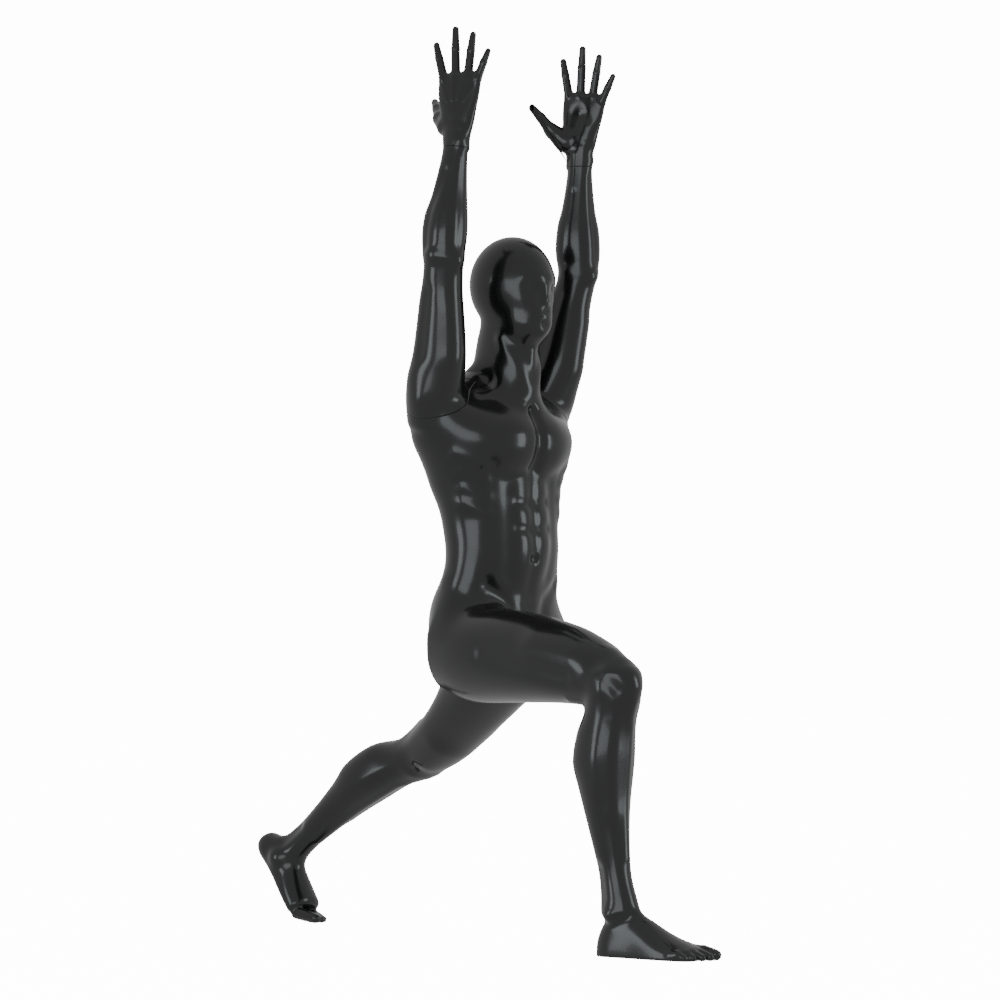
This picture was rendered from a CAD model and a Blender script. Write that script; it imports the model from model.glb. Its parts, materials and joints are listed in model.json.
"""The looks of a gloss-black fibreglass display figure: a deep lunge with both arms raised.

The skins are sculpted as one smooth body: round limbs that blend into each other, with gaussian
relief for the muscles. The body is meshed, cut where the figure comes apart, and each cut gets a
rounded rim and a recess for its fittings, which stay as the CAD nodes.
Sculpting lengths are millimetres in the figure's own axes: x to its left, -y ahead, z up.
"""

import json
import math

import bmesh
import bpy
import numpy as np
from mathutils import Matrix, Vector


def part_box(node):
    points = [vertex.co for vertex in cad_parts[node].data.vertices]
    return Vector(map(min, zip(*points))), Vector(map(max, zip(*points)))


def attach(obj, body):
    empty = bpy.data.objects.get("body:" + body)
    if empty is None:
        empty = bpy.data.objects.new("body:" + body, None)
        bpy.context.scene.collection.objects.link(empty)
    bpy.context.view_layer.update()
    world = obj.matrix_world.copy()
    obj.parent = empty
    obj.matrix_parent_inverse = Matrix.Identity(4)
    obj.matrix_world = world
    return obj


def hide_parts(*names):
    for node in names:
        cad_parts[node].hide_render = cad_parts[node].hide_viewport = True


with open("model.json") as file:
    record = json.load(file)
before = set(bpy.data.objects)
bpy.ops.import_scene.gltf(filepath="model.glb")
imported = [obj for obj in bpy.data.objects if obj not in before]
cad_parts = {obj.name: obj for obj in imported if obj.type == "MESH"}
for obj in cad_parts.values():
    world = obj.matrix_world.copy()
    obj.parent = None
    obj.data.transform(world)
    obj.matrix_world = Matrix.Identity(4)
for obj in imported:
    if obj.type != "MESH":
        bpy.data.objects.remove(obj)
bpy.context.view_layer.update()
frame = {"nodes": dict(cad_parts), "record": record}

MM = 0.001
LEFT, RIGHT = 1, -1
FORWARD = (0, -1, 0)
UP = (0, 0, 1)

# ---- driving dimensions
BODY_PITCH = 2.7  # spacing of the mesh on the body
FINE_PITCH = 1.5  # spacing of the mesh on the hands

HIP = (95, 0, 603)
FRONT_KNEE = (-161, -446, 519)
FRONT_ANKLE = (-167, -467, 87)
REAR_KNEE = (170, 388, 371)
REAR_ANKLE = (118, 748, 136)
SHOULDER = (163, 24, 1093)
ELBOW = (205, -32, 1379)
WRIST = (187, -49, 1642)

# Rows of a limb: distance along it, half width, depth ahead, depth behind, shift out, shift ahead.
TORSO = [
    (556, 78, 50, 66), (600, 150, 80, 106), (640, 165, 88, 116, 0, -2),
    (690, 158, 76, 108, 0, -2), (736, 143, 83, 94), (785, 137, 94, 87, 0, 2), (834, 140, 96, 91),
    (883, 149, 91, 100), (932, 160, 93, 114, 0, -4), (982, 174, 111, 130, 0, -6),
    (1031, 184, 122, 138, 0, -12), (1080, 172, 104, 134, 0, -22), (1120, 128, 70, 108, 0, -28),
    (1160, 70, 52, 70, 0, -20),
]
NECK = [
    (-20, 74, 62, 84), (30, 62, 58, 88), (70, 56, 56, 93), (105, 52, 53, 93), (140, 51, 50, 86),
    (175, 52, 48, 72),
]
THIGH = [
    (-40, 84, 76, 104), (40, 92, 84, 110), (120, 92, 90, 98), (220, 84, 95, 78),
    (320, 72, 93, 60), (400, 60, 82, 50), (459, 53, 62, 46), (490, 50, 50, 44),
]
REAR_THIGH = [
    (-40, 84, 76, 104), (40, 92, 76, 146), (120, 92, 73, 148), (220, 84, 73, 88),
    (320, 72, 71, 50), (400, 60, 67, 45), (459, 53, 53, 43), (490, 50, 45, 41),
]
SHANK = [
    (-40, 50, 50, 44), (0, 53, 58, 48), (60, 51, 48, 58, 0, -8), (130, 56, 44, 72, 0, -16),
    (220, 47, 40, 56, 0, -22), (310, 35, 33, 38, 0, -16), (380, 30, 31, 35, 0, -6),
    (432, 34, 38, 40), (450, 34, 38, 40),
]
REAR_SHANK = [
    (-40, 50, 44, 42), (0, 53, 51, 45), (60, 51, 45, 60, 0, -8), (130, 56, 42, 64, 0, -16),
    (220, 47, 39, 48, 0, -20), (310, 35, 33, 33, 0, -14), (380, 30, 31, 32, 0, -6),
    (432, 34, 38, 38), (450, 34, 38, 38),
]
UPPER_ARM = [
    (-60, 52, 44, 56), (0, 58, 48, 66), (80, 52, 56, 56), (160, 46, 52, 46), (230, 41, 44, 40),
    (299, 39, 42, 36), (320, 38, 40, 36),
]
FOREARM = [
    (-20, 38, 42, 36), (0, 39, 44, 37), (50, 43, 46, 42), (110, 38, 38, 38, 0, 2),
    (180, 28, 29, 30, 0, 5), (235, 22, 27, 27, 0, 6), (264, 21, 28, 28, 0, 5),
    (280, 21, 28, 28, 0, 5),
]
PALM = [
    (-50, 20, 28, 28, 0, 5), (-20, 20, 28, 28, 0, 5), (0, 20, 33, 31, 0, 5),
    (30, 19, 39, 37, 0, 5), (60, 16, 46, 44, 0, 5), (90, 13, 49, 46, 0, 6),
    (113, 10, 48, 44, 0, 6),
]

# Fingers, as (towards the thumb, along the hand) from the wrist: root, middle joint, tip; radii.
FINGERS = {
    "index": ((29, 106), (41, 150), (48, 178), (9.6, 8.2, 6.6)),
    "middle": ((2, 108), (4, 164), (5, 204), (9.6, 8.5, 6.8)),
    "ring": ((-26, 106), (-31, 155), (-35, 187), (9.4, 8.2, 6.6)),
    "little": ((-48, 96), (-60, 125), (-70, 148), (8.8, 7.4, 5.9)),
}
# The thumb's third number is how far it stands away from the back of the hand.
THUMB = [(28, 8, -12), (50, 30, -27), (68, 56, -46), (82, 74, -62)]
THUMB_RADII = (19, 14, 9.6, 7.4)
HAND_TURN = 15  # degrees that both hands are turned in their wrists, seen from above
HAND_LEAN = {LEFT: -4.5, RIGHT: 4.5}  # degrees that each hand leans towards its thumb

# Front foot: distance from the back of the heel, half width, height, depth below the sole.
FOOT_HEEL = (-172, -414, 0)
FOOT_TURN = 7.5
FOOT = [
    (3, 17, 40, 6), (20, 27, 66, 6), (50, 33, 90, 6), (90, 36, 88, 6), (130, 41, 66, 6),
    (170, 45, 45, 6), (205, 45, 32, 6), (232, 38, 22, 6),
]
# Toes: how far out the root is, its distance from the heel, the tip, and the two radii.
TOES = [
    ((-26, 196), (-21, 253), (13.5, 11.5)),
    ((-6, 206), (-1, 253), (10.5, 8.6)),
    ((9, 203), (14, 245), (9.8, 8.0)),
    ((23, 197), (27, 233), (9.2, 7.6)),
    ((36, 189), (38, 219), (8.8, 7.4)),
]
REAR_HEEL = (119, 802, 170)
REAR_BALL = (116, 684, 24)
REAR_FOOT = [
    (-18, 17, 18, 18), (0, 28, 30, 26), (40, 33, 50, 26), (90, 37, 48, 22), (140, 43, 36, 22),
    (186, 43, 28, 24),
]

# Relief on a limb: height, spread, and a path of (distance along it, angle). The angle is 0
# ahead, 90 outside, 180 behind and 270 inside, as in Tube.at.
TORSO_RELIEF = [  # the left side's, mirrored for the right
    # chest plates, with the crease under them
    (9, 34, (1040, 28), (1020, 48)), (7, 30, (985, 30)),
    (-3.5, 13, (950, 12), (944, 28), (956, 50)),
    # belly rows, their cross creases and outer edge
    (3, 17, (915, 14), (915, 21)), (3, 17, (862, 14), (862, 21)), (2.5, 17, (808, 14), (808, 21)),
    (-2.6, 7, (889, 9), (893, 26)), (-2.6, 7, (835, 9), (839, 26)),
    (-3, 14, (925, 37), (870, 37), (810, 37), (745, 37)), (3, 26, (755, 16), (700, 12)),
    # the finger-like muscles on the ribs
    (4, 10, (968, 62), (984, 78)), (4, 10, (935, 60), (951, 76)), (4, 10, (902, 60), (918, 76)),
    (4, 10, (872, 62), (888, 78)),
    # waist, the groove above the thigh and the iliac crest
    (5, 30, (800, 75), (760, 78)), (-5, 11, (722, 60), (690, 42), (655, 26)),
    (3, 14, (735, 100), (730, 70)),
    # collarbone and the hollow above it
    (8, 9, (1103, 9), (1112, 30), (1108, 58)), (-9, 14, (1140, 22), (1138, 55)),
    # back: broad muscle, shoulder blade and its inner edge, and the column by the spine
    (7, 34, (1000, 112), (930, 112)), (8, 24, (1070, 146), (1000, 134)),
    (-6, 12, (1080, 160), (1000, 150), (960, 136)), (5, 18, (900, 166), (820, 166), (740, 166)),
    (8, 26, (1110, 160), (1125, 135)),
    # seat
    (14, 38, (630, 146), (610, 150)), (5, 30, (700, 128)),
]
UPPER_ARM_RELIEF = [
    # shoulder cap
    (7, 28, (20, 95), (50, 110)), (4, 26, (40, 20), (80, 24)),
    # the front and the back of the arm, and the grooves between them
    (5, 24, (110, 12), (190, 18)), (6, 24, (130, 190), (200, 186)),
    (-3.5, 10, (100, 98), (160, 98), (230, 98)), (-3.5, 10, (90, 268), (160, 268), (240, 268)),
    # elbow point
    (7, 11, (292, 2)),
]
FOREARM_RELIEF = [
    # the bones beside the elbow, and its crook
    (4, 11, (2, 82)), (5, 10, (4, 276)), (-3, 14, (-2, 186)),
    # the bellies and the lines between them
    (5, 20, (30, 150), (80, 146)), (4, 18, (36, 60), (90, 58)), (4, 19, (40, 240), (100, 232)),
    (-3, 8, (20, 108), (90, 104), (170, 84)), (-2, 7, (30, 8), (110, 6), (200, 8)),
    # the bones and tendons of the wrist
    (4, 8, (236, 30)), (2.5, 9, (238, 160)), (1.6, 4, (180, 262), (250, 262)),
    (1.6, 4, (180, 284), (250, 284)),
]
THIGH_RELIEF = [  # angle 0 is the upper side of the bent thigh
    (4, 30, (130, 6), (220, 6), (330, 6)), (6, 26, (280, 52), (380, 46)),
    (7, 24, (350, 312), (410, 318)), (-4, 13, (150, 86), (260, 86), (380, 86)),
    # the tendons behind the knee
    (4, 9, (380, 140), (440, 140), (480, 140)), (4, 9, (380, 218), (440, 218), (480, 218)),
]
SHANK_RELIEF = [
    # shin and calf heads
    (3, 8, (80, -8), (200, -8), (330, -8)), (3, 14, (70, 42), (150, 42), (240, 42)),
    (6, 24, (90, 150), (140, 152)), (8, 25, (100, 214), (165, 212)),
    (-3, 10, (110, 182), (180, 180)),
    # Achilles tendon with its hollows, and the ankle bones
    (5, 9, (290, 180), (360, 180), (425, 180)), (-5, 11, (350, 128), (405, 128)),
    (-5, 11, (350, 232), (405, 232)), (8, 12, (446, 96)), (8, 13, (434, 268)),
]
# Relief on the left of the head and neck, mirrored for the right: height, spread and path.
HEAD_RELIEF = [
    # brow, eye, cheekbone and cheek
    (2.5, 9, (12, -122, 1350), (42, -108, 1350)), (-4, 11, (30, -112, 1332)),
    (2.5, 13, (48, -98, 1304)), (-2.5, 13, (40, -106, 1272)),
    # the strap of the neck, from the throat to behind the jaw, and the trapezius
    (5, 10, (8, -80, 1122), (32, -76, 1168), (56, -48, 1225)),
    (8, 22, (58, 34, 1165), (90, 34, 1132)),
]

# Where the figure comes apart. The CAD joints give the places of the shoulders and wrists.
SHOULDER_RADIUS = 126  # a cut acts only this near to its middle
WRIST_RADIUS = 60
HIP_RADIUS = 190
SHOULDER_WALL = 70.0  # from the shoulder's middle to the wall beside the neck
RIM = 0.7  # radius of the rounded edge at a cut
SEAM = 0.2  # half of the gap between two parts
WALL = 3.9  # from the face of a cut to the back of its plate
PLATE_ROOM = 0.5  # between a fitting and its recess
SHOULDER_FITTING = {"plate": 30.0, "board": 40.0, "depth": 12.5}
WRIST_FITTING = {"plate": 15.5, "board": 17.5, "depth": 10.5}
HIP_FITTING = {"plate": 40.0, "board": 50.0, "depth": 15.5}
HIP_WELL = (24.0, 75.0)  # radius and depth of the space around the square socket
HIP_CUT = (88, 10, 590)
ROD_HOLE = 7.4
ROD_DEPTH = 49.0


# ---- small geometry helpers
def unit(v):
    v = np.asarray(v, float)
    return v / np.linalg.norm(v)


def mirrored(point, side):
    """A point or direction of the left side, on the right side when side is RIGHT."""
    return np.array((side * point[0], point[1], point[2]), float)


class Spline:
    """A natural cubic spline through (knots, values), held constant outside them."""

    def __init__(self, knots, values):
        n = len(knots)
        h = np.diff(knots)
        system = np.eye(n)
        right = np.zeros((n, values.shape[1]))
        for i in range(1, n - 1):
            system[i, i - 1 : i + 2] = h[i - 1], 2 * (h[i - 1] + h[i]), h[i]
            rise_after = (values[i + 1] - values[i]) / h[i]
            rise_before = (values[i] - values[i - 1]) / h[i - 1]
            right[i] = 6 * (rise_after - rise_before)
        self.knots, self.values, self.steps = knots, values, h
        self.bend = np.linalg.solve(system, right)

    def __call__(self, t):
        t = np.clip(t, self.knots[0], self.knots[-1])
        i = np.clip(np.searchsorted(self.knots, t) - 1, 0, len(self.knots) - 2)
        step = self.steps[i][:, None]
        a = (self.knots[i + 1] - t)[:, None]
        b = (t - self.knots[i])[:, None]
        curved = (self.bend[i] * a**3 + self.bend[i + 1] * b**3) / (6 * step)
        straight_a = (self.values[i] / step - self.bend[i] * step / 6) * a
        straight_b = (self.values[i + 1] / step - self.bend[i + 1] * step / 6) * b
        return curved + straight_a + straight_b


def blended_min(a, b, reach):
    """The smaller of two distances, rounded where they are within reach of each other."""
    h = np.maximum(reach - np.abs(a - b), 0) / reach
    return np.minimum(a, b) - h**3 * reach / 6


# ---- shapes the body is made of
class Tube:
    """A limb with oval sections that differ ahead and behind. Its distance is approximate."""

    def __init__(self, start, end, front, rows, cap=20, reach=20, side=LEFT):
        self.start = np.array(start, float)
        self.axis = unit(np.array(end, float) - self.start)
        front = np.array(front, float)
        self.ahead = unit(front - (front @ self.axis) * self.axis)
        self.out = np.cross(self.axis, self.ahead) * side
        table = np.array([list(row) + [0] * (6 - len(row)) for row in rows], float)
        self.t = table[:, 0]
        self.rows = table[:, 1:]
        self.row_at = Spline(self.t, self.rows)
        self.cap = cap
        self.reach = reach
        size = self.rows[:, :3].max() + np.abs(self.rows[:, 3:]).max()
        ends = self.start + self.axis * self.t[[0, -1]][:, None]
        self.lo = ends.min(0) - size
        self.hi = ends.max(0) + size

    def __call__(self, points):
        q = points - self.start
        z = q @ self.axis
        row = self.row_at(z)
        x = q @ self.out - row[:, 3]
        y = q @ self.ahead - row[:, 4]
        depth = np.where(y > 0, row[:, 1], row[:, 2])
        rho = np.sqrt((x / row[:, 0]) ** 2 + (y / depth) ** 2 + 1e-9)
        far = np.sqrt(x * x + y * y) + 1e-6
        across = far - far / rho
        past = np.maximum(self.t[0] + self.cap - z, z - self.t[-1] + self.cap)
        return np.hypot(np.maximum(across + self.cap, 0), np.maximum(past, 0)) - self.cap

    def at(self, t, angle):
        """A point of the surface: angle 0 is ahead, 90 outside, 180 behind and 270 inside."""
        width, front, back, shift_out, shift_ahead = self.row_at(np.array([t]))[0]
        turn = math.radians(angle)
        depth = front if math.cos(turn) > 0 else back
        radius = 1 / math.hypot(math.sin(turn) / width, math.cos(turn) / depth)
        x = radius * math.sin(turn) + shift_out
        y = radius * math.cos(turn) + shift_ahead
        return self.start + self.axis * t + self.out * x + self.ahead * y


class Ball:
    """An ellipsoid with its radii along its axis, ahead and to the side."""

    def __init__(self, centre, radii, axis=UP, front=FORWARD, reach=20):
        self.centre = np.array(centre, float)
        self.radii = np.array(radii, float)
        self.reach = reach
        axis = unit(axis)
        front = np.array(front, float)
        ahead = unit(front - (front @ axis) * axis)
        self.frame = np.array([axis, ahead, np.cross(axis, ahead)])
        self.lo = self.centre - max(radii)
        self.hi = self.centre + max(radii)

    def __call__(self, points):
        q = (points - self.centre) @ self.frame.T
        k0 = np.linalg.norm(q / self.radii, axis=1) + 1e-9
        k1 = np.linalg.norm(q / self.radii**2, axis=1) + 1e-12
        return k0 * (k0 - 1) / k1


class Cone:
    """A finger-like cone between two balls."""

    def __init__(self, start, end, start_radius, end_radius, reach=8):
        self.start = np.array(start, float)
        self.along = np.array(end, float) - self.start
        self.radii = (start_radius, end_radius)
        self.reach = reach
        size = max(self.radii)
        self.lo = np.minimum(self.start, end) - size
        self.hi = np.maximum(self.start, end) + size

    def __call__(self, points):
        q = points - self.start
        t = np.clip(q @ self.along / (self.along @ self.along), 0, 1)
        radius = self.radii[0] + (self.radii[1] - self.radii[0]) * t
        return np.linalg.norm(q - t[:, None] * self.along, axis=1) - radius


RELIEF_REACH = 3.3  # spreads from its path at which a relief has faded out


class Relief:
    """Raises the surface by height around a path of points, or sinks it if height is negative."""

    def __init__(self, path, height, spread):
        self.path = np.atleast_2d(np.array(path, float))
        self.height = height
        self.spread = spread
        self.lo = self.path.min(0) - RELIEF_REACH * spread
        self.hi = self.path.max(0) + RELIEF_REACH * spread

    def __call__(self, points):
        if len(self.path) == 1:
            near = ((points - self.path[0]) ** 2).sum(1)
        else:
            near = np.full(len(points), np.inf)
        for a, b in zip(self.path[:-1], self.path[1:]):
            along = b - a
            t = np.clip((points - a) @ along / (along @ along), 0, 1)
            near = np.minimum(near, ((points - a - t[:, None] * along) ** 2).sum(1))
        return -self.height * np.exp(-0.5 * near / self.spread**2)


BLOCK = 90.0  # side of the blocks that the field is worked out in
MARGIN = 60.0  # a form has no effect further away than this
FAR = 200.0  # the field where no form is near
FLAT_BELOW = 30  # the floor flattens the soles only below this height
FLOOR_BLEND = 5
LEAST_STEEP = 0.05  # keeps a step finite where the field is nearly flat


class Figure:
    """The whole body: forms that blend, relief on them, and the floor under the feet."""

    def __init__(self):
        self.forms = []
        self.reliefs = []

    def add(self, *forms):
        self.forms.extend(forms)

    def relief(self, path, height, spread):
        self.reliefs.append(Relief(path, height, spread))

    def relieve(self, tube, rows, side=LEFT):
        """Adds a limb's relief from its table."""
        for height, spread, *path in rows:
            self.relief([tube.at(t, angle * side) for t, angle in path], height, spread)

    def field(self, points):
        """Below zero inside the body, and about the distance to it near the surface."""
        block = np.floor(points / BLOCK).astype(np.int64) + 64
        key = (block[:, 0] * 256 + block[:, 1]) * 256 + block[:, 2]
        order = np.argsort(key, kind="stable")
        edges = np.flatnonzero(np.diff(key[order])) + 1
        d = np.empty(len(points))
        for group in np.split(order, edges):
            d[group] = self.field_in_block(points[group])
        return d

    def field_in_block(self, points):
        """The field at points that lie close together."""
        low, high = points.min(0), points.max(0)
        d = np.full(len(points), FAR)
        for form in self.forms:
            if np.all(low < form.hi + MARGIN) and np.all(high > form.lo - MARGIN):
                d = blended_min(d, form(points), form.reach)
        for relief in self.reliefs:
            if np.all(low < relief.hi) and np.all(high > relief.lo):
                near = np.all((points > relief.lo) & (points < relief.hi), axis=1)
                d[near] += relief(points[near])
        if low[2] < FLAT_BELOW:
            d = -blended_min(-d, points[:, 2], FLOOR_BLEND)
        return d

    def gradient(self, points, here=None, step=0.3):
        here = self.field(points) if here is None else here
        slope = np.zeros_like(points)
        for i in range(3):
            shift = np.zeros(3)
            shift[i] = step
            slope[:, i] = (self.field(points + shift) - here) / step
        return slope

    def settle(self, points, limit):
        """Moves points onto the surface."""
        here = self.field(points)
        slope = self.gradient(points, here)
        steep = np.maximum((slope**2).sum(1), LEAST_STEEP)
        step = np.clip(here / steep, -limit, limit)
        return points - step[:, None] * slope


# ---- anatomy
def add_torso(body):
    """Pelvis to chest, with the muscles of a trained man."""
    torso = Tube((0, 0, 0), UP, FORWARD, TORSO, cap=30, reach=30)
    body.add(torso)
    at = torso.at
    # breastbone furrow, the line down the belly and the navel
    body.relief([at(z, 0) for z in (1085, 1050, 1010, 960)], -9, 10)
    body.relief([at(z, 0) for z in (960, 900, 840, 795)], -4, 11)
    body.relief([at(z, 0) for z in (770, 730, 690)], -2.5, 12)
    body.relief([at(777, 0)], -10, 6)
    body.relief([at(789, 0)], 2, 9)
    # spine
    body.relief([at(z, 180) for z in (1110, 1040, 960, 880, 800, 730, 690)], -8, 12)
    body.relief([at(z, 180) for z in (668, 640, 600, 570)], -16, 10)
    for side in (LEFT, RIGHT):
        body.relieve(torso, TORSO_RELIEF, side)
    # the pit of the throat
    body.relief([at(1122, 0)], -8, 9)
    # crotch
    body.add(Ball((0, -40, 588), (40, 34, 34), reach=30))


def add_head(body):
    """Neck and smooth head, with no more than a hint of a face."""
    body.add(Tube((0, -30, 1100), (0, -38, 1230), FORWARD, NECK, reach=45))
    body.add(Ball((0, -34, 1340), (99, 94, 80), axis=(0, 0.12, 1), reach=30))
    body.add(Ball((0, -72, 1272), (64, 56, 57), reach=24))
    # nose, lips and chin
    body.relief([(0, -126, 1330), (0, -130, 1304)], 4.5, 7)
    body.relief([(0, -128, 1299)], 3, 8)
    body.relief([(0, -126, 1268)], 2.5, 9)
    body.relief([(0, -127, 1281)], -2, 5)
    body.relief([(0, -125, 1252)], -2.5, 7)
    body.relief([(0, -122, 1234)], 3, 11)
    for side in (LEFT, RIGHT):
        for height, spread, *path in HEAD_RELIEF:
            body.relief([mirrored(place, side) for place in path], height, spread)
    # Adam's apple
    body.relief([(0, -92, 1196), (0, -90, 1180)], 3, 9)


def add_arm(body, side):
    shoulder, elbow, wrist = (mirrored(joint, side) for joint in (SHOULDER, ELBOW, WRIST))
    upper = Tube(shoulder, elbow, FORWARD, UPPER_ARM, reach=16, side=side)
    fore = Tube(elbow, wrist, FORWARD, FOREARM, reach=14, side=side)
    armpit = mirrored((146, 28, 1060), side)
    body.add(Ball(armpit, (76, 62, 55), axis=upper.axis, reach=45), upper, fore)
    body.relieve(upper, UPPER_ARM_RELIEF)
    body.relieve(fore, FOREARM_RELIEF)


def hand_point(side, thumbwards, along, outwards=0):
    """A point measured from the wrist. The palms face each other and the thumbs point back."""
    lean = math.radians(HAND_LEAN[side])
    turn = math.radians(HAND_TURN)
    wrist = mirrored(WRIST, side)
    axis = unit(wrist - mirrored(ELBOW, side))
    to_thumb = np.array((-math.sin(turn), math.cos(turn), 0))
    to_back = side * np.array((math.cos(turn), math.sin(turn), 0))
    across = thumbwards * math.cos(lean) + along * math.sin(lean)
    up = along * math.cos(lean) - thumbwards * math.sin(lean)
    return wrist + to_thumb * across + axis * up + to_back * outwards


def add_hand(body, side):
    def spot(*place):
        return hand_point(side, *place)

    palm = Tube(spot(0, 0), spot(0, 200), spot(-1, 0) - spot(0, 0), PALM, cap=9, reach=6, side=side)
    body.add(palm)
    for root, joint, tip, radii in FINGERS.values():
        body.add(Cone(spot(*root), spot(*joint), radii[0], radii[1], reach=9))
        body.add(Cone(spot(*joint), spot(*tip), radii[1], radii[2], reach=3))
        # two knuckles and the slimmer bones between them
        a, b, c = (np.array(p, float) for p in (root, joint, tip))
        middle = a + (b - a) * 0.56
        for place, lift in ((middle, 0.9), (b, 0.8), ((a + middle) / 2 + (2, 8), -0.5)):
            body.relief([spot(*place)], lift, 5.5)
        body.relief([spot(*(a - (0, 6)), 9)], 2.2, 6)
        body.relief([spot(*(a * 0.5 + (0, 4)), 16), spot(*(a - (0, 12)), 11)], 1.3, 3.6)
        # the nail's flat
        nail = c + (c - b) / np.linalg.norm(c - b) * 1.0
        body.relief([spot(*nail, radii[2])], -1.2, 4)
    thumb = [spot(*place) for place in THUMB]
    for i, reach in enumerate((22, 10, 4)):
        body.add(Cone(thumb[i], thumb[i + 1], THUMB_RADII[i], THUMB_RADII[i + 1], reach=reach))
    body.relief([thumb[2]], 1.0, 7)
    # ball of the thumb, heel of the hand and the hollow between them
    body.relief([spot(22, 38, -18), spot(16, 22, -16)], 5, 14)
    body.relief([spot(-22, 40, -17), spot(-22, 22, -16)], 4, 13)
    body.relief([spot(-2, 62, -18), spot(2, 44, -20)], -5, 15)


def add_leg(body, hip, knee, ankle, fronts, rows, side):
    """Thigh and shin with their muscles. fronts are where their upper and front sides look."""
    thigh = Tube(hip, knee, fronts[0], rows[0], reach=50, side=side)
    shank = Tube(knee, ankle, fronts[1], rows[1], reach=20, side=side)
    thigh.out = outward(thigh.out, side)
    shank.out = outward(shank.out, side)
    body.add(thigh, shank)
    body.relieve(thigh, THIGH_RELIEF)
    # kneecap, its tendon and the hollows beside them
    up, low = thigh.at, shank.at
    body.relief([up(446, 4), low(2, 0)], 5, 16)
    body.relief([low(36, 0), low(62, 0)], 4, 9)
    body.relief([up(440, 48), low(8, 44)], -4, 11)
    body.relief([up(440, 312), low(8, 316)], -4, 11)
    body.relieve(shank, SHANK_RELIEF)


def add_front_foot(body):
    turn = math.radians(FOOT_TURN)
    heading = np.array((math.sin(turn), -math.cos(turn), 0))
    sideways = np.array((-math.cos(turn), -math.sin(turn), 0))
    heel = np.array(FOOT_HEEL, float)
    up = np.array(UP)

    def spot(distance, out, height):
        """A point ahead of the heel, out towards the little toe and above the sole."""
        return heel + heading * distance + sideways * out + up * height

    body.add(Tube(heel, heel + heading, UP, FOOT, cap=12, reach=26, side=RIGHT))
    for i, (root, tip, radii) in enumerate(TOES):
        start = spot(root[1], root[0], radii[0] + 2)
        middle = spot((root[1] + tip[1]) / 2, (root[0] + tip[0]) / 2, radii[0] + 3)
        end = spot(tip[1], tip[0], radii[1] - 0.5)
        body.add(Cone(start, middle, radii[0], radii[1] + 0.6, reach=9))
        body.add(Cone(middle, end, radii[1] + 0.6, radii[1], reach=3))
        body.relief([end + heading * 3 + up * radii[1]], -1.0, 4 if i else 6)
        # tendon on the instep
        back = spot(120, root[0] * 0.35, 66)
        ahead = spot(root[1] - 6, root[0], 2 * radii[0] + 6)
        body.relief([back, ahead], 1.4, 4)
    # arch and ball
    body.relief([spot(t, -34, 12) for t in (95, 140)], -7, 16)
    body.relief([spot(185, -42, 18)], 3, 12)


def add_rear_foot(body):
    """The foot stands on its toes, which lie flat on the floor ahead of the ball."""
    body.add(Tube(REAR_HEEL, REAR_BALL, (0, -1, 0.7), REAR_FOOT, cap=14, reach=26, side=LEFT))
    ball = np.array(REAR_BALL, float)
    for i, (root, tip, radii) in enumerate(TOES):
        out = -root[0] * 0.95
        start = ball + (-out, -root[1] + 196, radii[0] - ball[2] + 7)
        end = ball + (-out * 0.94, -tip[1] + 198, radii[1] - ball[2] - 1)
        body.add(Cone(start, end, radii[0], radii[1], reach=8))
        body.relief([end + (0, -3, radii[1])], -1.0, 4 if i else 6)


def outward(direction, side):
    return direction if direction[0] * side > 0 else -direction


def sculpt():
    """The whole figure in its pose."""
    body = Figure()
    add_torso(body)
    add_head(body)
    for side in (LEFT, RIGHT):
        add_arm(body, side)
        add_hand(body, side)
    front_hip = mirrored(HIP, RIGHT)
    fronts = (UP, FORWARD)
    add_leg(body, front_hip, FRONT_KNEE, FRONT_ANKLE, fronts, (THIGH, SHANK), RIGHT)
    add_front_foot(body)
    fronts = ((0, -1, -1), (0, -1, -1))
    add_leg(body, HIP, REAR_KNEE, REAR_ANKLE, fronts, (REAR_THIGH, REAR_SHANK), LEFT)
    add_rear_foot(body)
    return body


# ---- from the body to a mesh
CELL = 6  # grid steps in one coarse cell
NEAR_CELLS = 1.35  # coarse cells from the surface within which the grid is filled in
BATCH = 300000  # grid points worked out at a time
SETTLE_ROUNDS = 3
CORNERS = [(i, j, k) for i in (0, 1) for j in (0, 1) for k in (0, 1)]


def sampled_grid(body, low, high, pitch):
    """The field on a grid, worked out only near the surface."""
    count = np.ceil((high - low) / (pitch * CELL)).astype(int)
    centres = [low[i] + pitch * CELL * (np.arange(count[i]) + 0.5) for i in range(3)]
    mesh = np.stack(np.meshgrid(*centres, indexing="ij"), -1).reshape(-1, 3)
    rough = body.field(mesh).reshape(count)
    active = np.argwhere(np.abs(rough) < pitch * CELL * NEAR_CELLS)
    values = np.where(rough < 0, -1e3, 1e3)
    for axis in range(3):
        values = np.repeat(values, CELL, axis)
    values = np.pad(values, ((0, 1),) * 3, mode="edge").astype(np.float32)
    steps = np.arange(CELL + 1)
    inside = np.stack(np.meshgrid(steps, steps, steps, indexing="ij"), -1).reshape(-1, 3)
    index = (active[:, None] * CELL + inside).reshape(-1, 3)
    index = np.unique(np.ravel_multi_index(index.T, values.shape))
    places = low + pitch * np.stack(np.unravel_index(index, values.shape), 1)
    batches = np.array_split(places, max(1, len(places) // BATCH))
    values.ravel()[index] = np.concatenate([body.field(batch) for batch in batches])
    return values


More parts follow.
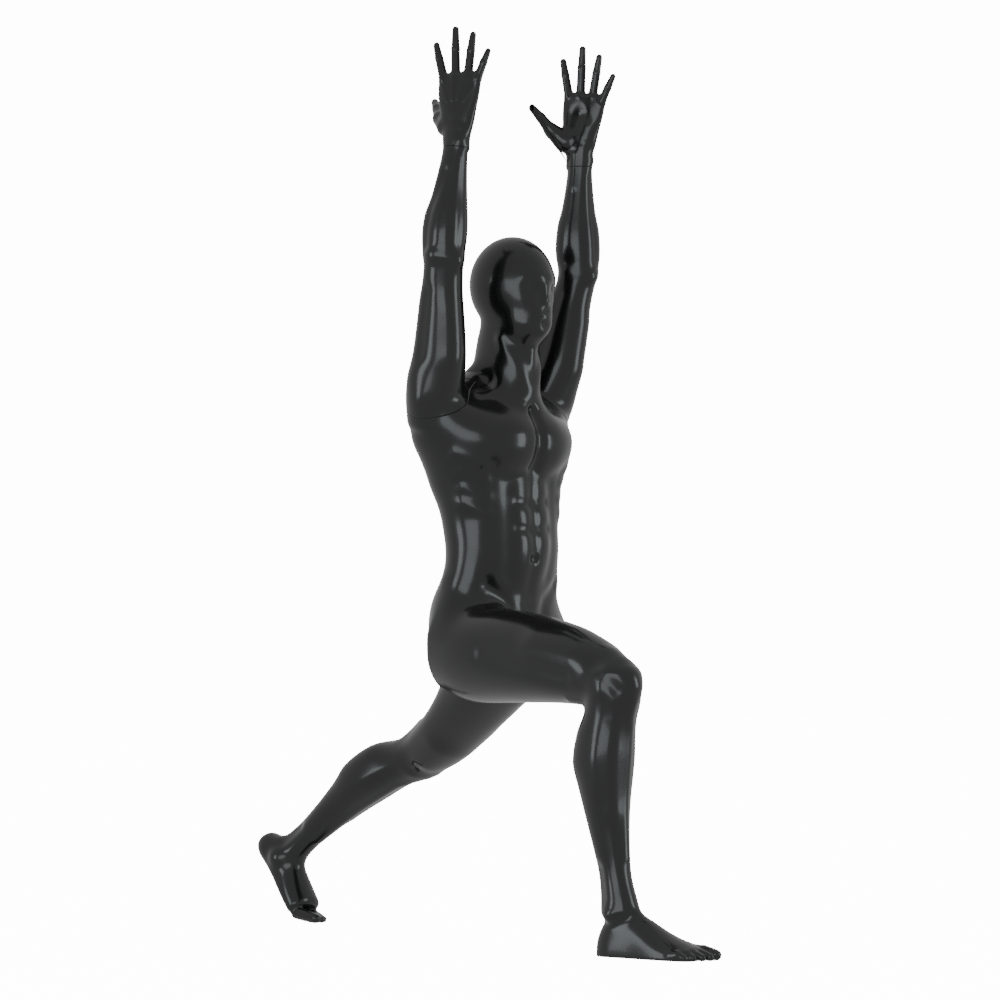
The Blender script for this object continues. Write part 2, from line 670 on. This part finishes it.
def surface_cells(values):
    """Cells that the surface passes through, with the mean of their edge crossings."""
    inside = values < 0
    shape = np.array(values.shape) - 1
    total = np.zeros(shape, np.int8)
    for i, j, k in CORNERS:
        total += inside[i : shape[0] + i, j : shape[1] + j, k : shape[2] + k]
    cells = np.argwhere((total > 0) & (total < 8))
    place = np.zeros((len(cells), 3))
    crossings = np.zeros(len(cells))
    for a in CORNERS:
        for axis in range(3):
            if a[axis]:
                continue
            b = np.array(a)
            b[axis] = 1
            value_a = values[tuple((cells + a).T)]
            value_b = values[tuple((cells + b).T)]
            crossed = (value_a < 0) != (value_b < 0)
            share = np.where(crossed, value_a / np.where(crossed, value_a - value_b, 1), 0)
            place += crossed[:, None] * (a + share[:, None] * (b - a))
            crossings += crossed
    return cells, cells + place / crossings[:, None]


def surface(body, low, high, pitch):
    """Vertices and quads of the body's surface on a grid of this pitch."""
    low = np.array(low, float)
    values = sampled_grid(body, low, np.array(high, float), pitch)
    cells, places = surface_cells(values)
    number = -np.ones(np.array(values.shape) - 1, int)
    number[tuple(cells.T)] = np.arange(len(cells))
    inside = values < 0
    quads = []
    for axis in range(3):
        low_end = [slice(1, -1)] * 3
        low_end[axis] = slice(0, -1)
        high_end = list(low_end)
        high_end[axis] = slice(1, None)
        one, other = inside[tuple(low_end)], inside[tuple(high_end)]
        j, k = (axis + 1) % 3, (axis + 2) % 3
        for flip, edges in ((False, one & ~other), (True, ~one & other)):
            base = np.argwhere(edges)
            base[:, j] += 1
            base[:, k] += 1
            ring = []
            for step_j, step_k in ((1, 1), (0, 1), (0, 0), (1, 0)):
                cell = base.copy()
                cell[:, j] -= step_j
                cell[:, k] -= step_k
                ring.append(number[tuple(cell.T)])
            quad = np.stack(ring, 1)
            quads.append(quad[:, ::-1] if flip else quad)
    points = low + pitch * places
    for _ in range(SETTLE_ROUNDS):
        points = body.settle(points, pitch)
    return points, np.concatenate(quads)


class Cut:
    """A plane where the figure comes apart, near one place. Its normal looks outwards.

    wall is (direction, offset): a second plane that keeps the trunk's own flesh beside the part.
    """

    def __init__(self, name, centre, normal, radius, fitting, wall=None):
        self.name = name
        self.centre = np.array(centre, float)
        self.normal = unit(normal)
        self.radius = radius
        self.fitting = fitting
        self.wall = (unit(wall[0]), wall[1]) if wall else None

    def height(self, points):
        return (points - self.centre) @ self.normal

    def past_wall(self, points):
        """How far points are on the trunk's side of the wall."""
        if not self.wall:
            return np.full(len(points), -np.inf)
        return (points - self.centre) @ self.wall[0] - self.wall[1]

    def near(self, points):
        return np.linalg.norm(points - self.centre, axis=1) < self.radius


EDGE = SEAM + RIM  # how far from the middle of a cut the skin's own surface stops
REACH_PAST = 8.0  # how far past each other the two planes of a walled cut are drawn
RIM_TURNS = (30, 60, 90)  # degrees at which the rounded edge has its rings
CHAIN_STEP = 3  # spacing of the vertices across the foot of a wall


def slide_to_cuts(body, points, cuts, pitch):
    """Moves the vertices nearest to a cut's edges onto them, so that no thin face is left."""
    slope = body.gradient(points)
    slope /= np.linalg.norm(slope, axis=1)[:, None] + 1e-9
    reach = 0.3 * min(pitch, 3.0)
    for cut in cuts:
        close = cut.near(points)
        for level in (-EDGE, EDGE):
            off = cut.height(points) - level
            chosen = close & (np.abs(off) < reach) & (cut.past_wall(points) < EDGE)
            slide(points, chosen, off, slope, cut.normal)
            if cut.wall:
                off = cut.past_wall(points) - level
                chosen = close & (np.abs(off) < reach) & (cut.height(points) > -EDGE)
                slide(points, chosen, off, slope, cut.wall[0])
    return points


def slide(points, chosen, off, slope, normal):
    """Moves points along the surface by their distance off a plane."""
    along = normal - slope[chosen] * (slope[chosen] @ normal)[:, None]
    rate = np.maximum(along @ normal, 0.2)
    points[chosen] -= along * (off[chosen] / rate)[:, None]


def face_middles(bm):
    return np.array([face.calc_center_median() for face in bm.faces])


def faces_where(bm, chosen):
    bm.faces.ensure_lookup_table()
    return [bm.faces[i] for i in np.flatnonzero(chosen)]


def delete_faces(bm, chosen):
    bmesh.ops.delete(bm, geom=faces_where(bm, chosen), context="FACES")


def bisect(bm, chosen, place, normal):
    """Cuts the chosen faces of a bmesh by a plane."""
    parts = set()
    for face in faces_where(bm, chosen):
        parts.add(face)
        parts.update(face.verts)
        parts.update(face.edges)
    bmesh.ops.bisect_plane(
        bm, geom=list(parts), dist=1e-3, plane_co=Vector(place), plane_no=Vector(normal)
    )


def cut_mesh(points, quads, cuts):
    """A bmesh of the body, opened along every cut."""
    mesh = bpy.data.meshes.new("figure")
    mesh.from_pydata(points.tolist(), [], quads.tolist())
    bm = bmesh.new()
    bm.from_mesh(mesh)
    bpy.data.meshes.remove(mesh)
    for cut in cuts:
        for level in (-EDGE, EDGE):
            if cut.wall:
                direction, offset = cut.wall
                middles = face_middles(bm)
                chosen = cut.near(middles) & (cut.height(middles) > -REACH_PAST)
                bisect(bm, chosen, cut.centre + direction * (offset + level), direction)
            middles = face_middles(bm)
            chosen = cut.near(middles) & (cut.past_wall(middles) < REACH_PAST)
            bisect(bm, chosen, cut.centre + cut.normal * level, cut.normal)
        middles = face_middles(bm)
        height, past = cut.height(middles), cut.past_wall(middles)
        kept = (height < -EDGE) | (past > EDGE) | ((height > EDGE) & (past < -EDGE))
        delete_faces(bm, cut.near(middles) & ~kept)
    return bm


def boundary_loops(bm):
    """Every open edge loop, as an ordered list of vertices."""
    open_edges = {edge for edge in bm.edges if len(edge.link_faces) == 1}
    loops = []
    while open_edges:
        edge = open_edges.pop()
        start, current = edge.verts
        loop = [start, current]
        while current is not start:
            following = [e for e in current.link_edges if e in open_edges]
            if not following:
                break
            edge = following[0]
            open_edges.discard(edge)
            current = edge.other_vert(current)
            loop.append(current)
        loops.append(loop[:-1] if loop[-1] is start else loop)
    return loops


def ring_of(bm, places):
    return [bm.verts.new(place) for place in places]


def bridge(bm, one, other):
    """Quads between two rings with the same number of vertices."""
    count = len(one)
    for i in range(count):
        j = (i + 1) % count
        bm.faces.new((one[i], one[j], other[j], other[i]))


def close_cut(bm, loop, centre, normal, profile):
    """Rounds the open edge over to the cut's face and lines the recess of its fittings.

    profile is a list of (radius, level) circles round centre. Level 0 is the cut's face and a
    negative level is inside the part; normal looks out of the part.
    """
    centre = Vector(centre)
    normal = Vector(normal)
    places = [vert.co.copy() for vert in loop]
    count = len(places)
    inwards = []
    for i in range(count):
        along = places[(i + 1) % count] - places[i - 1]
        across = along.cross(normal)
        if across.length < 1e-6:
            across = centre - places[i]
        across.normalize()
        if across.dot(centre - places[i]) < 0:
            across.negate()
        inwards.append(across)
    last = loop
    for turn in RIM_TURNS:
        angle = math.radians(turn)
        out = RIM * math.sin(angle)
        back = RIM * (1 - math.cos(angle))
        ring = ring_of(bm, [places[i] + normal * out + inwards[i] * back for i in range(count)])
        bridge(bm, last, ring)
        last = ring
    rays = []
    for place in places:
        ray = place - centre
        ray -= normal * ray.dot(normal)
        rays.append(ray.normalized())
    for radius, level in profile:
        ring = ring_of(bm, [centre + ray * radius + normal * level for ray in rays])
        bridge(bm, last, ring)
        last = ring
    bm.faces.new(last)


def close_wall(bm, loop, cut, side):
    """Fills the part of an open edge that lies on the wall of a cut, and returns the rest."""
    places = np.array([vert.co for vert in loop])
    on_wall = np.abs(cut.past_wall(places) + side * EDGE) < 0.05
    if not on_wall.any():
        return loop
    count = len(loop)
    start = next(i for i in range(count) if on_wall[i] and not on_wall[i - 1])
    order = [loop[(start + i) % count] for i in range(count)]
    size = int(on_wall.sum())
    arc, rest = order[:size], order[size:]
    first, last = arc[0].co.copy(), arc[-1].co.copy()
    steps = max(2, int((last - first).length / CHAIN_STEP))
    chain = ring_of(bm, [last.lerp(first, i / steps) for i in range(1, steps)])
    bm.faces.new(arc + chain)
    return [arc[-1]] + rest + [arc[0]] + chain[::-1]


def fitting_profile(fitting, has_board=True, well=None):
    """The recess for a plate that is flush with the cut and for the wider board behind it."""
    hole = fitting["plate"] + PLATE_ROOM
    profile = [(hole, 0), (hole, -WALL)]
    if not has_board:
        return profile
    board = fitting["board"] + PLATE_ROOM
    floor = -WALL - fitting["depth"]
    profile += [(board, -WALL), (board, floor)]
    if well:
        radius, depth = well
        profile += [(radius, floor), (radius, -depth)]
    return profile


# ---- the cuts, from the CAD joints
joints = {joint["name"]: joint for joint in frame["record"]["behaviour"]["joints"]}
OFFSET = np.array(joints["left_arm_turn"]["pos_m"], float) - np.array(SHOULDER) * MM


def from_row(point):
    """A place in the row frame, in the figure's own millimetres."""
    return (np.array(point, float) - OFFSET) / MM


def shoulder_wall(joint, side):
    """A plane that leans along the arm and looks towards the neck."""
    normal = unit(joint["axis"])
    arm = unit(mirrored(ELBOW, side) - mirrored(SHOULDER, side))
    level = np.cross(UP, normal)
    inwards = unit(np.cross(level, arm))
    return (inwards if inwards[0] * side < 0 else -inwards), SHOULDER_WALL


cuts = []
for side, side_name in ((LEFT, "left"), (RIGHT, "right")):
    arm_joint = joints[f"{side_name}_arm_turn"]
    hand_joint = joints[f"{side_name}_hand_turn"]
    cuts.append(Cut(f"{side_name}_arm", from_row(arm_joint["pos_m"]), arm_joint["axis"],
                    SHOULDER_RADIUS, SHOULDER_FITTING, shoulder_wall(arm_joint, side)))
    cuts.append(Cut(f"{side_name}_hand", from_row(hand_joint["pos_m"]), hand_joint["axis"],
                    WRIST_RADIUS, WRIST_FITTING))
cuts.append(Cut("rear_leg", HIP_CUT, joints["rear_leg_pull"]["axis"], HIP_RADIUS, HIP_FITTING))


def line_bore(bm, centre, radius, depth):
    """Opens the flat sole round the support rod's socket and lines the bore."""
    centre = Vector(centre)
    margin = radius + 1.2 * BODY_PITCH
    doomed = []
    for face in bm.faces:
        middle = face.calc_center_median() - centre
        if abs(middle.z) < 1 and middle.xy.length < margin:
            doomed.append(face)
    bmesh.ops.delete(bm, geom=doomed, context="FACES")
    loops = boundary_loops(bm)
    loop = min(loops, key=lambda ring: (ring[0].co - centre).length)
    rays = []
    for vert in loop:
        ray = vert.co - centre
        ray.z = 0
        rays.append(ray.normalized())
    last = loop
    for level in (0, depth):
        ring = ring_of(bm, [centre + ray * radius + Vector((0, 0, level)) for ray in rays])
        bridge(bm, last, ring)
        last = ring
    bm.faces.new(last)


# ---- pieces
SHARP_ANGLE = math.radians(55)  # the only edges this sharp are the recesses'


def close_cuts(bm, cuts):
    """Closes every open edge, and returns one vertex of each part by the part's name."""
    seeds = {}
    for loop in boundary_loops(bm):
        places = np.array([vert.co for vert in loop])
        middle = places.mean(0)
        cut = min(cuts, key=lambda each: np.linalg.norm(each.centre - middle))
        side = 1 if np.median(cut.height(places)) > 0 else -1
        if cut.wall:
            loop = close_wall(bm, loop, cut, side)
        face_centre = cut.centre + cut.normal * side * SEAM
        well = HIP_WELL if cut.name == "rear_leg" and side < 0 else None
        has_board = not (cut.name.endswith("hand") and side > 0)
        profile = fitting_profile(cut.fitting, has_board, well)
        close_cut(bm, loop, face_centre, -side * cut.normal, profile)
        if side > 0:
            seeds[cut.name] = loop[0]
    return seeds


def island(seed):
    """Every face that hangs together with a vertex."""
    found = {seed}
    waiting = [seed]
    faces = set()
    while waiting:
        vert = waiting.pop()
        for face in vert.link_faces:
            if face in faces:
                continue
            faces.add(face)
            for other in face.verts:
                if other not in found:
                    found.add(other)
                    waiting.append(other)
    return faces


def new_object(name, data):
    thing = bpy.data.objects.new(name, data)
    bpy.context.scene.collection.objects.link(thing)
    return thing


def make_piece(name, faces, material):
    """A mesh object, in the row frame, from some faces of a bmesh."""
    number = {}
    places = []
    polygons = []
    for face in sorted(faces, key=lambda f: f.index):
        polygon = []
        for vert in face.verts:
            if vert not in number:
                number[vert] = len(places)
                places.append(Vector(vert.co) * MM + Vector(OFFSET))
            polygon.append(number[vert])
        polygons.append(polygon)
    mesh = bpy.data.meshes.new(name)
    mesh.from_pydata(places, [], polygons)
    mesh.validate()
    mesh.shade_smooth()
    mesh.set_sharp_from_angle(angle=SHARP_ANGLE)
    mesh.materials.append(material)
    return new_object(name, mesh)


def drop_side(bm, cut, side, top=None):
    """Deletes the faces on one side of a cut.

    With top, only those on the cut's half of the figure and no more than top below it go.
    """
    middles = face_middles(bm)
    doomed = side * cut.height(middles) > 0
    if top:
        doomed &= (middles[:, 2] > cut.centre[2] - top) & (middles[:, 0] * cut.centre[0] > 0)
    delete_faces(bm, doomed)


BODY_BOX = ((-300, -720, -12), (300, 870, 1640))
HAND_BOX = ((90, 100, 20), (90, 170, 270))  # from a wrist's cut down and up to the box's corners
HAND_BELOW = 60  # the body's own hands are dropped from this far below their cuts


def build_skins(body, material):
    """The six skins by body name."""
    pieces = {}
    hand_cuts = [cut for cut in cuts if cut.name.endswith("hand")]
    points, quads = surface(body, *BODY_BOX, BODY_PITCH)
    points = slide_to_cuts(body, points, cuts, BODY_PITCH)
    bm = cut_mesh(points, quads, cuts)
    for cut in hand_cuts:
        drop_side(bm, cut, 1, top=HAND_BELOW)
    seeds = close_cuts(bm, cuts)
    line_bore(bm, rod_mouth(), ROD_HOLE, ROD_DEPTH)
    bm.faces.index_update()
    rest = set(bm.faces)
    for name in ("left_arm", "right_arm", "rear_leg"):
        faces = island(seeds[name])
        rest -= faces
        pieces[name] = make_piece(f"{name}_skin", faces, material)
    pieces["trunk"] = make_piece("trunk_skin", rest, material)
    bm.free()
    for cut in hand_cuts:
        low = cut.centre - HAND_BOX[0]
        high = cut.centre + HAND_BOX[1]
        points, quads = surface(body, low, high, FINE_PITCH)
        points = slide_to_cuts(body, points, [cut], FINE_PITCH)
        bm = cut_mesh(points, quads, [cut])
        drop_side(bm, cut, -1)
        seeds = close_cuts(bm, [cut])
        bm.faces.index_update()
        pieces[cut.name] = make_piece(f"{cut.name}_skin", island(seeds[cut.name]), material)
        bm.free()
    return pieces


def rod_mouth():
    """The middle of the support rod's socket at the sole."""
    low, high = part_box("base_rod_socket")
    middle = from_row([(a + b) / 2 for a, b in zip(low, high)])
    middle[2] = 0
    return middle


# ---- materials
def set_sockets(node, values):
    for name, value in values.items():
        node.inputs[name].default_value = value


def new_material(name, colour, roughness, metallic=0.0):
    material = bpy.data.materials.new(name)
    material.use_nodes = True
    shader = material.node_tree.nodes["Principled BSDF"]
    colour = (*colour, 1)
    set_sockets(shader, {"Base Color": colour, "Roughness": roughness, "Metallic": metallic})
    return material, shader


def noise(material, scale, detail, stretch=(1, 1, 1)):
    """A noise texture in the object's own metres."""
    nodes, links = material.node_tree.nodes, material.node_tree.links
    place = nodes.new("ShaderNodeTexCoord")
    mapping = nodes.new("ShaderNodeMapping")
    set_sockets(mapping, {"Scale": stretch})
    texture = nodes.new("ShaderNodeTexNoise")
    set_sockets(texture, {"Scale": scale, "Detail": detail})
    links.new(place.outputs["Object"], mapping.inputs["Vector"])
    links.new(mapping.outputs["Vector"], texture.inputs["Vector"])
    return texture.outputs["Fac"]


def vary(material, source, low, high, target):
    """Links a noise texture, most of which is between 0.3 and 0.7, to a socket."""
    ranged = material.node_tree.nodes.new("ShaderNodeMapRange")
    set_sockets(ranged, {"From Min": 0.3, "From Max": 0.7, "To Min": low, "To Max": high})
    material.node_tree.links.new(source, ranged.inputs["Value"])
    material.node_tree.links.new(ranged.outputs["Result"], target)


def add_bump(material, shader, source, strength, distance):
    bump = material.node_tree.nodes.new("ShaderNodeBump")
    set_sockets(bump, {"Strength": strength, "Distance": distance})
    material.node_tree.links.new(source, bump.inputs["Height"])
    material.node_tree.links.new(bump.outputs["Normal"], shader.inputs["Normal"])


def gloss_black():
    """Sprayed black lacquer on fibreglass, with a trace of orange peel."""
    material, shader = new_material("gloss_black", (0.008, 0.008, 0.0085), 0.2)
    set_sockets(shader, {"IOR": 1.5, "Coat Weight": 0.15, "Coat Roughness": 0.05})
    vary(material, noise(material, 14, 3), 0.17, 0.24, shader.inputs["Roughness"])
    add_bump(material, shader, noise(material, 260, 2), 0.05, 0.0004)
    return material


def zinc_steel():
    material, shader = new_material("zinc_steel", (0.62, 0.64, 0.67), 0.32, 1.0)
    vary(material, noise(material, 90, 4), 0.24, 0.42, shader.inputs["Roughness"])
    add_bump(material, shader, noise(material, 700, 3), 0.08, 0.0002)
    return material


def plywood():
    material, shader = new_material("plywood", (0.55, 0.38, 0.21), 0.6)
    grain = noise(material, 60, 5, (1, 7, 7))
    ramp = material.node_tree.nodes.new("ShaderNodeValToRGB")
    ramp.color_ramp.elements[0].position = 0.35
    ramp.color_ramp.elements[0].color = (0.38, 0.23, 0.11, 1)
    ramp.color_ramp.elements[1].position = 0.7
    ramp.color_ramp.elements[1].color = (0.68, 0.50, 0.30, 1)
    material.node_tree.links.new(grain, ramp.inputs["Fac"])
    material.node_tree.links.new(ramp.outputs["Color"], shader.inputs["Base Color"])
    add_bump(material, shader, grain, 0.25, 0.0005)
    return material


def finish_cad_nodes(materials):
    """Gives the fittings, which are seen as the CAD made them, a finish by their slot."""
    for node in frame["nodes"].values():
        for place in node.material_slots:
            for name, material in materials.items():
                if place.material and place.material.name.startswith(name):
                    place.material = material


# ---- studio
CAMERA_HEADING = 42.445  # degrees from +x towards +y that the camera looks
CAMERA_DISTANCE = 7.519
CAMERA_HEIGHT = 0.551
CAMERA_TILT = 2.653  # degrees upwards
CAMERA_LENS = 132.0
SENSOR_WIDTH = 36
SURROUNDINGS = 0.6  # how bright the studio is, as the figure mirrors it
BACKDROP = 14.0  # how bright it is to the camera
WHITE = (1, 1, 1, 1)
FLOOR_SIZE = 60
FLOOR_DROP = 0.0005  # how far the floor is below the soles
SOFTBOX_TINT = (0.88, 0.97, 1.0)
# Softboxes: degrees to the camera's left, distance, height, width, upright size, radiance.
SOFTBOXES = {
    "strip_left": (62, 4.5, 1.2, 1.5, 2.2, 2.8),
    "strip_front": (17, 4.5, 1.2, 3.2, 1.9, 2.0),
    "strip_right": (-75, 4.5, 1.2, 1.4, 2.4, 2.8),
}


def studio_place(turn, distance, height):
    """A place on a circle round the figure. turn is in degrees to the camera's left of it."""
    angle = math.radians(CAMERA_HEADING + 180 - turn)
    across = OFFSET[0] + distance * math.cos(angle)
    return Vector((across, OFFSET[1] + distance * math.sin(angle), height))


def add_camera():
    data = bpy.data.cameras.new("camera")
    data.lens = CAMERA_LENS
    data.sensor_width = SENSOR_WIDTH
    data.clip_end = 100
    camera = new_object("camera", data)
    camera.location = studio_place(0, CAMERA_DISTANCE, CAMERA_HEIGHT)
    tilt, heading = math.radians(90 + CAMERA_TILT), math.radians(CAMERA_HEADING - 90)
    camera.rotation_euler = (tilt, 0, heading)
    bpy.context.scene.camera = camera


def add_softbox(name, turn, distance, height, width, tall, brightness):
    """An upright soft panel that faces the figure. brightness is its radiance."""
    data = bpy.data.lights.new(name, "AREA")
    data.shape = "RECTANGLE"
    data.size = width
    data.size_y = tall
    data.energy = brightness * math.pi * width * tall
    data.color = SOFTBOX_TINT
    lamp = new_object(name, data)
    lamp.location = studio_place(turn, distance, height)
    target = Vector((OFFSET[0], OFFSET[1], min(height, 1.2)))
    lamp.rotation_euler = (target - lamp.location).to_track_quat("-Z", "Y").to_euler()


def add_world():
    """An even white studio, brighter to the camera than in the figure's gloss."""
    world = bpy.data.worlds.new("studio")
    bpy.context.scene.world = world
    world.use_nodes = True
    nodes, links = world.node_tree.nodes, world.node_tree.links
    path = nodes.new("ShaderNodeLightPath")
    strength = nodes.new("ShaderNodeMapRange")
    set_sockets(strength, {"To Min": SURROUNDINGS, "To Max": BACKDROP})
    set_sockets(nodes["Background"], {"Color": WHITE})
    links.new(path.outputs["Is Camera Ray"], strength.inputs["Value"])
    links.new(strength.outputs["Result"], nodes["Background"].inputs["Strength"])


def add_floor():
    place = (OFFSET[0], OFFSET[1], -FLOOR_DROP)
    bpy.ops.mesh.primitive_plane_add(size=FLOOR_SIZE, location=place)
    floor = bpy.context.object
    floor.name = "floor"
    floor.visible_glossy = False
    floor.visible_diffuse = False
    material, shader = new_material("floor_white", (0.85, 0.85, 0.85), 0.8)
    set_sockets(shader, {"Emission Color": WHITE, "Emission Strength": BACKDROP})
    floor.data.materials.append(material)


# ---- assembly
black = gloss_black()
skins = build_skins(sculpt(), black)
REPLACED = {
    "trunk": ("torso_shell", "front_leg_shell"),
    "rear_leg": ("rear_leg_shell",),
    "left_arm": ("left_arm_shell",),
    "right_arm": ("right_arm_shell",),
    "left_hand": ("left_hand",),
    "right_hand": ("right_hand",),
}
for body_name, skin in skins.items():
    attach(skin, body_name)
    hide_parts(*REPLACED[body_name])

finish_cad_nodes({
    "gloss_black_shell": black,
    "zinc_plated_steel": zinc_steel(),
    "birch_plywood": plywood(),
})

add_floor()
add_world()
for softbox_name, softbox in SOFTBOXES.items():
    add_softbox(softbox_name, *softbox)
add_camera()
